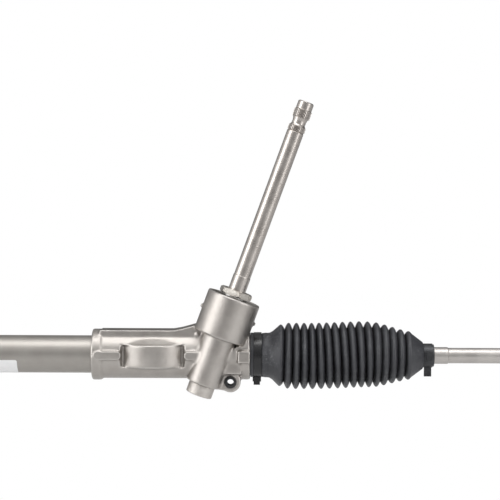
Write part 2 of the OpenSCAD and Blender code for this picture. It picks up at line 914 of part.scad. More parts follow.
function coil_point(t, turns, r, pitch) =
    [r * cos(360 * t * turns), r * sin(360 * t * turns), pitch * turns * t];
function coil_ring(t, turns, r, pitch, wire_r, sides) = [
    for (s = [0:sides - 1])
        let (
            a = 360 * t * turns,
            c = coil_point(t, turns, r, pitch),
            out = wire_r * cos(360 * s / sides),
            up = wire_r * sin(360 * s / sides)
        )
        [c[0] + out * cos(a), c[1] + out * sin(a), c[2] + up]
];

module yoke_spring() {
    sides = 8;
    free_len = plug_front - spring_seat - 0.6;
    turns = floor((free_len - spring_wire) / (1.35 * spring_wire));
    steps = 20 * turns;
    pitch = (free_len - spring_wire) / turns;
    points = [
        for (i = [0:steps])
            each coil_ring(i / steps, turns, spring_r, pitch, spring_wire / 2, sides)
    ];
    walls = [
        for (i = [0:steps - 1], s = [0:sides - 1])
            let (n = (s + 1) % sides)
            each [
                [i * sides + s, i * sides + n, (i + 1) * sides + s],
                [i * sides + n, (i + 1) * sides + n, (i + 1) * sides + s]
            ]
    ];
    ends = [
        [for (s = [sides - 1:-1:0]) s],
        [for (s = [0:sides - 1]) steps * sides + s]
    ];
    color([0.4, 0.42, 0.45])
        on_yoke()
            translate([0, 0, spring_seat + 0.3 + spring_wire / 2])
                polyhedron(points = points, faces = concat(walls, ends), convexity = 6);
}

module yoke_plug() {
    plug_len = yoke_boss_y + 1.5 * lock_nut_t - plug_front;
    color([0.7, 0.69, 0.66])
        on_yoke()
            translate([0, 0, plug_front])
                difference() {
                    soft_disc(yoke_plug_d / 2, 0, plug_len, 0.8);
                    translate([0, 0, plug_len - plug_key_depth])
                        cylinder(d = plug_key_d, h = plug_key_depth + cut, $fn = 6);
                }
}

module yoke_lock_nut() {
    color([0.62, 0.62, 0.63])
        on_yoke()
            difference() {
                hex_body(lock_nut_flats, yoke_boss_y + seat_gap, lock_nut_t);
                translate([0, 0, yoke_boss_y - cut])
                    cylinder(r = yoke_plug_d / 2 + seat_gap, h = lock_nut_t + 3 * cut);
            }
}

// Rack bar and inner joints

module rack_bar() {
    bar_start = left_ball_x + socket_back;
    bar_end = right_ball_x - socket_back;
    color([0.7, 0.71, 0.73])
        difference() {
            union() {
                along_x(bar_start)
                    soft_disc(rack_r, 0, bar_end - bar_start, 0.8);
                along_x(bar_start - rack_stud_len)
                    cylinder(d = rack_stud_d, h = bar_end - bar_start + 2 * rack_stud_len);
            }
            translate([0, 0, -rack_r - cut])
                linear_extrude(height = 2 * rack_r + 2 * cut)
                    tooth_spaces();
        }
}

// Drawn with the ball's centre at zero and the rod pointing up
module socket(side) {
    cavity_r = joint_ball_d / 2 + run_gap + seat_wall + run_gap;
    mouth = 6;
    color([0.42, 0.42, 0.44])
        at_joint(side)
            difference() {
                union() {
                    rotate_extrude()
                        polygon([
                            [0, -socket_back], [socket_d / 2 - 5, -socket_back],
                            [socket_d / 2 - 4, 1 - socket_back], [socket_d / 2 - 4, -22],
                            [socket_d / 2, -17], [socket_d / 2, mouth - 2.5],
                            [socket_d / 2 - 2, mouth], [0, mouth]
                        ]);
                    // Flats for the spanner
                    translate([0, 0, -socket_back + 2])
                        cylinder(d = socket_d - 4.5, h = 9, $fn = 6);
                }
                sphere(r = cavity_r);
                translate([0, 0, mouth - 1.4])
                    cylinder(r = joint_ball_d / 2 + 0.4, h = 3);
                translate([0, 0, -socket_back - cut])
                    cylinder(r = rack_stud_d / 2 + seat_gap, h = rack_stud_len + 1.5 + cut);
            }
}

module ball_seat(side) {
    mouth = 5.2;
    color([0.85, 0.85, 0.8])
        at_joint(side)
            difference() {
                sphere(r = joint_ball_d / 2 + run_gap + seat_wall);
                sphere(r = joint_ball_d / 2 + run_gap);
                translate([0, 0, mouth])
                    cylinder(r = joint_ball_d, h = joint_ball_d);
                translate([0, 0, -joint_ball_d])
                    cylinder(r = 3, h = joint_ball_d);
            }
}

module tie_rod(side) {
    taper_z = 24;
    seat_z = boot_end - small_cuff_len - 6;
    seat_end = boot_end + 14.5;
    thread_z = nut_start - 12;
    color([0.76, 0.76, 0.75])
        at_joint(side)
            union() {
                sphere(d = joint_ball_d);
                rotate_extrude()
                    polygon([
                        [0, 0], [neck_rod_d / 2, 0], [neck_rod_d / 2, taper_z - 6],
                        [tie_rod_d / 2, taper_z], [tie_rod_d / 2, seat_z], [boot_seat_d / 2, seat_z + 1],
                        [boot_seat_d / 2, seat_end - 0.7], [tie_rod_d / 2, seat_end],
                        [tie_rod_d / 2, thread_z - 1.5], [thread_root_r, thread_z],
                        [thread_root_r, tie_rod_len - rod_thread_len],
                        [rod_thread_d / 2, tie_rod_len - rod_thread_len],
                        [rod_thread_d / 2, tie_rod_len - 1.5], [rod_thread_d / 2 - 1.5, tie_rod_len],
                        [0, tie_rod_len]
                    ]);
            }
}

module jam_nut(side) {
    color([0.66, 0.64, 0.55])
        at_joint(side)
            difference() {
                hex_body(jam_nut_flats, nut_start, jam_nut_t);
                translate([0, 0, nut_start - cut])
                    cylinder(r = thread_root_r + seat_gap, h = jam_nut_t + 2 * cut);
            }
}

// Boots and their clamps

function crest_r(i) = min(i == 0 ? boot_r - 2.6 : boot_r, boot_tip_r + boot_step * (boot_folds - 1 - i));
function valley_r(i) = min(boot_r - boot_fold_depth, (crest_r(i) + crest_r(i + 1)) / 2 - 5.1);

// Outline of the folds from the first crest to the last, with round crests and valleys
function fold_points(shift) = [
    for (i = [0:boot_folds - 1], k = [0:5])
        let (
            up = crest_r(i),
            low = valley_r(min(i, boot_folds - 2)),
            next = crest_r(min(i + 1, boot_folds - 1)),
            z = boot_first + (i + k / 6) * boot_pitch,
            wave = pow((1 + cos(60 * k)) / 2, 0.8),
            r = k <= 3 ? low + (up - low) * wave : low + (next - low) * wave
        )
        if (i < boot_folds - 1 || k == 0) [r - shift, z]
];

module boot(side) {
    folds = fold_points(0);
    inner_folds = fold_points(boot_wall);
    count = len(inner_folds);
    color([0.08, 0.08, 0.09])
        at_boot(side)
            rotate_extrude()
                polygon(concat(
                    [
                        [tube_r + soft_gap, 0.3], [wide_cuff_r + 0.9, 0.3], [wide_cuff_r + 0.9, strap_start],
                        [wide_cuff_r, strap_start], [wide_cuff_r, strap_start + strap_w],
                        [wide_cuff_r + 0.6, strap_start + strap_w], [wide_cuff_r + 0.6, boot_seat_len + 2],
                        [crest_r(0) - 6, boot_first - 5.5]
                    ],
                    folds,
                    [
                        [boot_tip_r - 5, boot_last + 4], [boot_tip_r - 7, boot_last + 6],
                        [small_cuff_r + 0.6, boot_len - small_cuff_len - 2],
                        [small_cuff_r, boot_len - small_cuff_len], [small_cuff_r, boot_len - 1.4],
                        [small_cuff_r + 0.5, boot_len - 1.4], [small_cuff_r + 0.5, boot_len],
                        [boot_seat_d / 2 + soft_gap, boot_len],
                        [boot_seat_d / 2 + soft_gap, boot_len - small_cuff_len - 2.5],
                        [boot_tip_r - 7 - boot_wall, boot_last + 5],
                        [boot_tip_r - 5 - boot_wall, boot_last + 3.4]
                    ],
                    [for (i = [1:count]) inner_folds[count - i]],
                    [
                        [crest_r(0) - 6 - boot_wall, boot_first - 5],
                        [tube_r + soft_gap + 1.2, boot_seat_len + 2.4],
                        [tube_r + soft_gap, boot_seat_len + 0.4]
                    ]
                ));
}

// Strap with its lock at the bottom
module boot_strap(side) {
    strap_r = wide_cuff_r + 0.1;
    lock_w = 11;
    strap_z = strap_start + 0.1;
    color([0.05, 0.05, 0.06])
        at_boot(side)
            difference() {
                union() {
                    translate([0, 0, strap_z])
                        cylinder(r = strap_r + strap_t, h = strap_w - 0.2);
                    translate([side * (strap_r - 2), -4.5, strap_z - 1])
                        mirror([side > 0 ? 0 : 1, 0, 0])
                            cube([7, 9, lock_w - 2.6]);
                    translate([side * (strap_r + 4.5), -3, strap_z])
                        mirror([side > 0 ? 0 : 1, 0, 0])
                            cube([4, 6, strap_w - 1.6]);
                }
                translate([0, 0, -cut])
                    cylinder(r = strap_r, h = strap_start + strap_w + 2 * cut);
                translate([0, 0, -cut])
                    cylinder(r = wide_cuff_r + 1.1, h = strap_start + cut);
            }
}

// Band clamp with a lug at the front and a tail pointing down
module cuff_clamp(side) {
    band_r = small_cuff_r + soft_gap;
    band_z = boot_len - small_cuff_len + 0.2;
    band_w = small_clamp_w;
    color([0.16, 0.16, 0.17])
        at_boot(side)
            difference() {
                union() {
                    translate([0, 0, band_z])
                        cylinder(r = band_r + 1, h = band_w);
                    translate([-4.6, -band_r - 2.2, band_z + 2])
                        cube([9.2, 4, 5.6]);
                    translate([side > 0 ? band_r - 1 : -band_r - 10, -1.4, band_z + 1])
                        cube([11, 2.8, 7.2]);
                }
                translate([0, 0, band_z - cut])
                    cylinder(r = band_r, h = band_w + 2 * cut);
            }
}

module right_socket() { socket(1); }
module left_socket() { socket(-1); }
module right_ball_seat() { ball_seat(1); }
module left_ball_seat() { ball_seat(-1); }
module right_tie_rod() { tie_rod(1); }
module left_tie_rod() { tie_rod(-1); }
module right_jam_nut() { jam_nut(1); }
module left_jam_nut() { jam_nut(-1); }
module right_boot() { boot(1); }
module left_boot() { boot(-1); }
module right_boot_strap() { boot_strap(1); }
module left_boot_strap() { boot_strap(-1); }
module right_cuff_clamp() { cuff_clamp(1); }
module left_cuff_clamp() { cuff_clamp(-1); }

gear_housing();
rack_tube();
rack_bush();
lug_bush();
bottom_cap();
bottom_bush();
bearing_outer_ring();
bearing_inner_ring();
bearing_balls();
bearing_cage();
bearing_circlip();
pinion_spacer();
pinion_seal();
pinion_nut();
pinion_shaft();
yoke();
yoke_liner();
yoke_o_ring();
yoke_spring();
yoke_plug();
yoke_lock_nut();
rack_bar();
right_socket();
left_socket();
right_ball_seat();
left_ball_seat();
right_tie_rod();
left_tie_rod();
right_jam_nut();
left_jam_nut();
right_boot();
left_boot();
right_boot_strap();
left_boot_strap();
right_cuff_clamp();
left_cuff_clamp();
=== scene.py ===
import math

import bpy
import numpy as np
from mathutils import Matrix, Vector


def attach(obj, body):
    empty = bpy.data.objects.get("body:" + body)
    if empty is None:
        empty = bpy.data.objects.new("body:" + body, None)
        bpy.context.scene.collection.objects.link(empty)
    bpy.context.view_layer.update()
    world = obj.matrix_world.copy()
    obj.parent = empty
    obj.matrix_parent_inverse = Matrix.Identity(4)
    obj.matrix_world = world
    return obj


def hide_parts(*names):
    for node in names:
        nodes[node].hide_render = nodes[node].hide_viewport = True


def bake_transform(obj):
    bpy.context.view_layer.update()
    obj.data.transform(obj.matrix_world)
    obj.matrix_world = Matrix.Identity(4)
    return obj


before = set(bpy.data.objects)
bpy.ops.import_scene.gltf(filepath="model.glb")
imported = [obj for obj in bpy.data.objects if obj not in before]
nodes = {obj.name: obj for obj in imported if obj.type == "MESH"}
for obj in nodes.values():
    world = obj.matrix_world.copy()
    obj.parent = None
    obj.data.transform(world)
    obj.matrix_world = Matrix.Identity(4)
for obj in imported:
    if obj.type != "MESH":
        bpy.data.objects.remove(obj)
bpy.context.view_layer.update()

mm = 0.001

# camera: looks along the pinion side, a little from above, as the photo does
photoView = {
    "target": (0.3666, 0.0, 0.105),
    "distance": 1.5,
    "pitch": 2.0,  # degrees down
    "roll": 0.25,  # right side a little lower
    "lens": 108.0,
}


def placeCamera():
    data = bpy.data.cameras.new("photoCamera")
    data.lens = photoView["lens"]
    data.clip_end = 20
    camera = bpy.data.objects.new("photoCamera", data)
    bpy.context.scene.collection.objects.link(camera)
    pitch = math.radians(photoView["pitch"])
    back = Vector((0, -math.cos(pitch), math.sin(pitch))) * photoView["distance"]
    turn = Matrix.Rotation(math.radians(90) - pitch, 4, "X")
    roll = Matrix.Rotation(math.radians(photoView["roll"]), 4, "Z")
    camera.matrix_world = Matrix.Translation(Vector(photoView["target"]) + back) @ turn @ roll
    bpy.context.scene.camera = camera


placeCamera()
print("camera placed")

# small helpers for node trees
def newGroup(name, inputs, outputs):
    group = bpy.data.node_groups.new(name, "ShaderNodeTree")
    for label, kind, value in inputs:
        socket = group.interface.new_socket(name=label, in_out="INPUT", socket_type=kind)
        if value is not None:
            socket.default_value = value
    for label, kind in outputs:
        group.interface.new_socket(name=label, in_out="OUTPUT", socket_type=kind)
    return group, group.nodes.new("NodeGroupInput"), group.nodes.new("NodeGroupOutput")


def addNoise(tree, vector, scale, detail, roughness=0.6):
    noise = tree.nodes.new("ShaderNodeTexNoise")
    noise.inputs["Detail"].default_value = detail
    noise.inputs["Roughness"].default_value = roughness
    tree.links.new(vector, noise.inputs["Vector"])
    if isinstance(scale, (int, float)):
        noise.inputs["Scale"].default_value = scale
    else:
        tree.links.new(scale, noise.inputs["Scale"])
    return noise.outputs["Fac"]


def addRange(tree, value, low, high, toLow=0.0, toHigh=1.0):
    ranged = tree.nodes.new("ShaderNodeMapRange")
    ranged.inputs["From Min"].default_value = low
    ranged.inputs["From Max"].default_value = high
    ranged.inputs["To Min"].default_value = toLow
    ranged.inputs["To Max"].default_value = toHigh
    tree.links.new(value, ranged.inputs["Value"])
    return ranged.outputs["Result"]


def addMath(tree, operation, a, b):
    node = tree.nodes.new("ShaderNodeMath")
    node.operation = operation
    for slot, value in enumerate((a, b)):
        if isinstance(value, (int, float)):
            node.inputs[slot].default_value = value
        else:
            tree.links.new(value, node.inputs[slot])
    return node.outputs[0]


# studio: pale floor, white surround, three soft lamps; gloss sees dimmer and brighter parts in the surround
studio = {
    "floorDrop": -0.25,
    "floorSize": 12.0,
    "floorFade": (0.28, 0.5),  # metres from the shadow's middle over which the floor turns plain white
    "shadowX": 0.16,
    "shadowStretch": 0.45,  # the shadow lies along X, so distances along it count less
    "floorTone": 0.86,
    "ambient": 0.5,
    "surround": 0.62,
    "darkest": 0.03,
    "lobes": [
        # direction, degrees where it ends, degrees where it is full, what it adds
        ((-0.95, -0.30, 0.1), 32, 8, 1.15),
        ((0.86, -0.50, 0.1), 24, 6, 0.85),
        ((0.0, -0.2, 1.0), 55, 20, 0.35),
        ((0.62, 0.78, 0.0), 60, 28, -0.55),
        ((-0.3, 0.6, 0.75), 30, 12, -0.35),
        ((-0.4, 0.92, 0.0), 34, 14, -0.4),
        ((0.05, -1.0, 0.0), 34, 12, -0.24),
    ],
    "lamps": [
        # name, place, aim, width, height, power
        ("leftPanel", (-1.15, -0.85, 0.55), (0.3, 0, 0.05), 0.9, 1.6, 13.0),
        ("rightPanel", (1.75, -1.0, 0.45), (0.36, 0, 0.05), 0.6, 1.4, 8.0),
        ("topPanel", (0.35, -0.5, 1.7), (0.35, 0, 0), 1.6, 0.8, 14.0),
    ],
}


def addLamp(name, place, aim, width, height, power):
    data = bpy.data.lights.new(name, "AREA")
    data.shape = "RECTANGLE"
    data.size = width
    data.size_y = height
    data.energy = power
    lamp = bpy.data.objects.new(name, data)
    bpy.context.scene.collection.objects.link(lamp)
    lamp.location = place
    lamp.rotation_euler = (Vector(aim) - Vector(place)).to_track_quat("-Z", "Y").to_euler()


def addVectorMath(tree, operation, a, b):
    node = tree.nodes.new("ShaderNodeVectorMath")
    node.operation = operation
    tree.links.new(a, node.inputs[0])
    node.inputs[1].default_value = b
    return node.outputs["Value" if operation in ("DOT_PRODUCT", "DISTANCE") else "Vector"]


def lightStudio():
    for lamp in studio["lamps"]:
        addLamp(*lamp)
    world = bpy.data.worlds.new("studioWorld")
    bpy.context.scene.world = world
    world.use_nodes = True
    tree = world.node_tree
    tree.nodes.clear()
    out = tree.nodes.new("ShaderNodeOutputWorld")
    path = tree.nodes.new("ShaderNodeLightPath")
    ray = tree.nodes.new("ShaderNodeTexCoord").outputs["Generated"]
    sheen = studio["surround"]
    for direction, ends, full, adds in studio["lobes"]:
        facing = addVectorMath(tree, "DOT_PRODUCT", ray, Vector(direction).normalized())
        part = addRange(tree, facing, math.cos(math.radians(ends)), math.cos(math.radians(full)), 0.0, adds)
        part.node.interpolation_type = "SMOOTHSTEP"
        sheen = addMath(tree, "ADD", sheen, part)
    sheen = addMath(tree, "MAXIMUM", sheen, studio["darkest"])
    soft = tree.nodes.new("ShaderNodeBackground")
    soft.inputs["Strength"].default_value = studio["ambient"]
    shiny = tree.nodes.new("ShaderNodeBackground")
    tree.links.new(sheen, shiny.inputs["Strength"])
    white = tree.nodes.new("ShaderNodeBackground")
    for shader in (soft, shiny, white):
        shader.inputs["Color"].default_value = (1, 1, 1, 1)
    white.inputs["Strength"].default_value = 1.0
    straight = addMath(tree, "MAXIMUM", path.outputs["Is Camera Ray"], path.outputs["Is Transmission Ray"])
    for amount, first, second in ((path.outputs["Is Glossy Ray"], soft, shiny), (straight, None, white)):
        mix = tree.nodes.new("ShaderNodeMixShader")
        tree.links.new(amount, mix.inputs[0])
        tree.links.new((first or blended).outputs[0], mix.inputs[1])
        tree.links.new(second.outputs[0], mix.inputs[2])
        blended = mix
    tree.links.new(blended.outputs[0], out.inputs[0])


def addFloor():
    bpy.ops.object.select_all(action="DESELECT")
    bpy.ops.mesh.primitive_plane_add(size=studio["floorSize"], location=(0.35, 2.0, studio["floorDrop"]))
    floor = bpy.context.object
    floor.name = "floor"
    paint = bpy.data.materials.new("floorPaint")
    paint.use_nodes = True
    tree = paint.node_tree
    tree.nodes.clear()
    out = tree.nodes.new("ShaderNodeOutputMaterial")
    matt = tree.nodes.new("ShaderNodeBsdfDiffuse")
    matt.inputs["Color"].default_value = (*[studio["floorTone"]] * 3, 1)
    glow = tree.nodes.new("ShaderNodeEmission")
    place = tree.nodes.new("ShaderNodeNewGeometry").outputs["Position"]
    stretch = studio["shadowStretch"]
    narrow = addVectorMath(tree, "MULTIPLY", place, (stretch, 1, 1))
    away = addVectorMath(tree, "DISTANCE", narrow, (studio["shadowX"] * stretch, 0.0, studio["floorDrop"]))
    fade = addRange(tree, away, *studio["floorFade"])
    fade.node.interpolation_type = "SMOOTHSTEP"
    seen = addMath(tree, "MULTIPLY", fade, tree.nodes.new("ShaderNodeLightPath").outputs["Is Camera Ray"])
    mix = tree.nodes.new("ShaderNodeMixShader")
    tree.links.new(seen, mix.inputs[0])
    tree.links.new(matt.outputs[0], mix.inputs[1])
    tree.links.new(glow.outputs[0], mix.inputs[2])
    tree.links.new(mix.outputs[0], out.inputs[0])
    floor.data.materials.append(paint)


lightStudio()
addFloor()
bpy.context.scene.view_settings.view_transform = "Standard"
print("studio lit")


# shared effects, each a node group with its own inputs
def buildSkinGroup():
    # clouds of tone over the piece, and the grit that blasting or moulding leaves
    group, given, out = newGroup(
        "surfaceSkin",
        [("Vector", "NodeSocketVector", None), ("Cloud Scale", "NodeSocketFloat", 40.0),
         ("Grit Scale", "NodeSocketFloat", 900.0)],
        [("Cloud", "NodeSocketFloat"), ("Grit", "NodeSocketFloat")],
    )
    cloud = addNoise(group, given.outputs["Vector"], given.outputs["Cloud Scale"], 3.0)
    grit = addNoise(group, given.outputs["Vector"], given.outputs["Grit Scale"], 4.0, 0.7)
    group.links.new(addRange(group, cloud, 0.35, 0.65), out.inputs["Cloud"])
    group.links.new(addRange(group, grit, 0.3, 0.7), out.inputs["Grit"])
    return group


def buildScuffGroup():
    # thin broken rubs and smears over the piece
    group, given, out = newGroup(
        "handlingScuffs",
        [("Vector", "NodeSocketVector", None), ("Scale", "NodeSocketFloat", 60.0),
         ("Amount", "NodeSocketFloat", 0.3)],
        [("Mask", "NodeSocketFloat")],
    )
    patches = addNoise(group, given.outputs["Vector"], given.outputs["Scale"], 2.0)
    finer = addMath(group, "MULTIPLY", given.outputs["Scale"], 6.0)
    streaks = addNoise(group, given.outputs["Vector"], finer, 5.0, 0.75)
    inPatches = addRange(group, patches, 0.48, 0.7)
    inStreaks = addRange(group, streaks, 0.5, 0.68)
    both = addMath(group, "MULTIPLY", inPatches, inStreaks)
    group.links.new(addMath(group, "MULTIPLY", both, given.outputs["Amount"]), out.inputs["Mask"])
    return group


def buildTurningGroup():
    # fine rings left by the lathe, along the group's own X
    group, given, out = newGroup(
        "turningMarks",
        [("Vector", "NodeSocketVector", None), ("Pitch", "NodeSocketFloat", 0.0004)],
        [("Rings", "NodeSocketFloat")],
    )
    split = group.nodes.new("ShaderNodeSeparateXYZ")
    group.links.new(given.outputs["Vector"], split.inputs[0])
    along = addMath(group, "DIVIDE", split.outputs["X"], given.outputs["Pitch"])
    line = group.nodes.new("ShaderNodeTexNoise")
    line.noise_dimensions = "1D"
    line.inputs["Scale"].default_value = 1.0
    line.inputs["Detail"].default_value = 3.0
    group.links.new(along, line.inputs["W"])
    group.links.new(addRange(group, line.outputs["Fac"], 0.3, 0.7), out.inputs["Rings"])
    return group


skinGroup = buildSkinGroup()
scuffGroup = buildScuffGroup()
turningGroup = buildTurningGroup()

# finishes: colours are linear, sizes in metres
finishes = {
    "castAluminium": {"base": (0.37, 0.345, 0.322), "second": (0.435, 0.41, 0.385), "metallic": 0.92,
                      "rough": (0.30, 0.39), "cloud": 55.0, "grit": 1500.0, "bump": 0.08,
                      "scuff": (0.46, 0.44, 0.415), "scuffScale": 70.0, "scuffAmount": 0.3,
                      # crease: painted shade, darker where the casting bends sharply inwards; rim: convex
                      # edges are painted lighter
                      "crease": (0.44, 0.49), "creaseShadeTone": (0.10, 0.088, 0.08),
                      "creaseShadeAmount": 0.85, "rimAmount": 0.7,
                      "rim": (0.51, 0.56), "rimTone": (0.62, 0.6, 0.57)},
    "tubePaint": {"base": (0.345, 0.325, 0.302), "second": (0.365, 0.346, 0.322), "metallic": 0.85,
                  "rough": (0.36, 0.40), "cloud": 60.0, "grit": 2000.0, "bump": 0.04,
                  "scuff": (0.44, 0.42, 0.395), "scuffScale": 60.0, "scuffAmount": 0.2},
    "capCast": {"base": (0.46, 0.43, 0.40), "second": (0.56, 0.53, 0.5), "metallic": 0.92,
                "rough": (0.36, 0.48), "cloud": 80.0, "grit": 1700.0, "bump": 0.12,
                "scuff": (0.66, 0.64, 0.6), "scuffScale": 90.0, "scuffAmount": 0.4},
    "shaftSteel": {"base": (0.42, 0.388, 0.362), "second": (0.475, 0.442, 0.414), "metallic": 0.95,
                   "rough": (0.25, 0.33), "cloud": 80.0, "grit": 1800.0, "bump": 0.02,
                   "scuff": (0.56, 0.53, 0.50), "scuffScale": 60.0, "scuffAmount": 0.2,
                   "lean": 70.0, "rings": 0.0009, "ringBump": 0.015},
    "nutZinc": {"base": (0.56, 0.52, 0.47), "second": (0.68, 0.65, 0.6), "metallic": 0.95,
                "rough": (0.24, 0.36), "cloud": 150.0, "grit": 2200.0, "bump": 0.04,
                "scuff": (0.75, 0.72, 0.68), "scuffScale": 160.0, "scuffAmount": 0.4},
    "bearingSteel": {"base": (0.55, 0.55, 0.56), "second": (0.62, 0.62, 0.63), "metallic": 1.0,
                     "rough": (0.14, 0.24), "cloud": 90.0, "grit": 2500.0, "bump": 0.01,
                     "scuff": (0.7, 0.7, 0.7), "scuffScale": 90.0, "scuffAmount": 0.15},
    "bronze": {"base": (0.45, 0.27, 0.12), "second": (0.52, 0.34, 0.16), "metallic": 1.0,
               "rough": (0.3, 0.42), "cloud": 120.0, "grit": 2200.0, "bump": 0.04,
               "scuff": (0.6, 0.42, 0.24), "scuffScale": 90.0, "scuffAmount": 0.3},
    "blackSteel": {"base": (0.035, 0.035, 0.037), "second": (0.055, 0.055, 0.058), "metallic": 0.7,
                   "rough": (0.38, 0.5), "cloud": 120.0, "grit": 1800.0, "bump": 0.05,
                   "scuff": (0.2, 0.19, 0.18), "scuffScale": 120.0, "scuffAmount": 0.35},
    "groundSteel": {"base": (0.5, 0.49, 0.48), "second": (0.57, 0.56, 0.55), "metallic": 1.0,
                    "rough": (0.16, 0.26), "cloud": 40.0, "grit": 2500.0, "bump": 0.01,
                    "scuff": (0.66, 0.65, 0.63), "scuffScale": 60.0, "scuffAmount": 0.25,
                    "lean": 0.0, "rings": 0.0007, "ringBump": 0.03},
    "socketSteel": {"base": (0.20, 0.195, 0.19), "second": (0.27, 0.265, 0.255), "metallic": 0.9,
                    "rough": (0.34, 0.46), "cloud": 90.0, "grit": 1700.0, "bump": 0.05,
                    "scuff": (0.42, 0.41, 0.39), "scuffScale": 90.0, "scuffAmount": 0.35,
                    "lean": 0.0, "rings": 0.0008, "ringBump": 0.06},
    "rodSteel": {"base": (0.47, 0.445, 0.425), "second": (0.54, 0.515, 0.492), "metallic": 0.92,
                 "rough": (0.3, 0.42), "cloud": 50.0, "grit": 1800.0, "bump": 0.04,
                 "scuff": (0.6, 0.59, 0.57), "scuffScale": 60.0, "scuffAmount": 0.35,
                 "lean": 0.0, "rings": 0.0009, "ringBump": 0.03},
    "yellowZinc": {"base": (0.47, 0.40, 0.22), "second": (0.50, 0.46, 0.36), "metallic": 0.95,
                   "rough": (0.24, 0.36), "cloud": 160.0, "grit": 2200.0, "bump": 0.03,
                   "scuff": (0.62, 0.6, 0.5), "scuffScale": 150.0, "scuffAmount": 0.3},
    "whitePlastic": {"base": (0.74, 0.73, 0.69), "second": (0.78, 0.77, 0.74), "metallic": 0.0,
                     "rough": (0.4, 0.5), "cloud": 90.0, "grit": 1500.0, "bump": 0.03,
                     "scuff": (0.6, 0.59, 0.56), "scuffScale": 90.0, "scuffAmount": 0.2},
    "sealRubber": {"base": (0.012, 0.012, 0.013), "second": (0.02, 0.02, 0.021), "metallic": 0.0,
                   "rough": (0.42, 0.55), "cloud": 120.0, "grit": 1500.0, "bump": 0.06,
                   "scuff": (0.06, 0.06, 0.06), "scuffScale": 120.0, "scuffAmount": 0.4},
    "bootRubber": {"base": (0.029, 0.0298, 0.0345), "second": (0.042, 0.043, 0.0490), "metallic": 0.0,
                   "rough": (0.38, 0.52), "cloud": 60.0, "grit": 1300.0, "bump": 0.10,
                   "scuff": (0.17, 0.172, 0.18), "scuffScale": 75.0, "scuffAmount": 0.6, "cuffScuffs": 0.4,
                   # valley shade: painted shade, darker the deeper a point lies in a fold valley
                   "valleyShadeTone": (0.008, 0.0082, 0.0095), "valleyShadeFade": (0.25, 0.9), "valleyShadeAmount": 0.8,
                   "cuffDepth": 0.15},
    "strapPlastic": {"base": (0.006, 0.006, 0.007), "second": (0.01, 0.01, 0.011), "metallic": 0.0,
                     "rough": (0.14, 0.24), "cloud": 120.0, "grit": 1500.0, "bump": 0.03,
                     "scuff": (0.06, 0.06, 0.065), "scuffScale": 140.0, "scuffAmount": 0.3},
    "labelPaper": {"base": (0.76, 0.765, 0.77), "second": (0.80, 0.80, 0.80), "metallic": 0.0,
                   "rough": (0.42, 0.5), "cloud": 120.0, "grit": 2500.0, "bump": 0.01,
                   "scuff": (0.7, 0.7, 0.69), "scuffScale": 120.0, "scuffAmount": 0.2},
    "clampSteel": {"base": (0.03, 0.031, 0.034), "second": (0.05, 0.051, 0.054), "metallic": 0.55,
                   "rough": (0.28, 0.4), "cloud": 120.0, "grit": 1900.0, "bump": 0.04,
                   "scuff": (0.24, 0.24, 0.25), "scuffScale": 140.0, "scuffAmount": 0.3},
}


def addTone(tree, colour, amount, tone):
    mix = tree.nodes.new("ShaderNodeMix")
    mix.data_type = "RGBA"
    mix.inputs["B"].default_value = (*tone, 1)
    tree.links.new(colour, mix.inputs["A"])
    tree.links.new(amount, mix.inputs["Factor"])
    return mix.outputs["Result"]


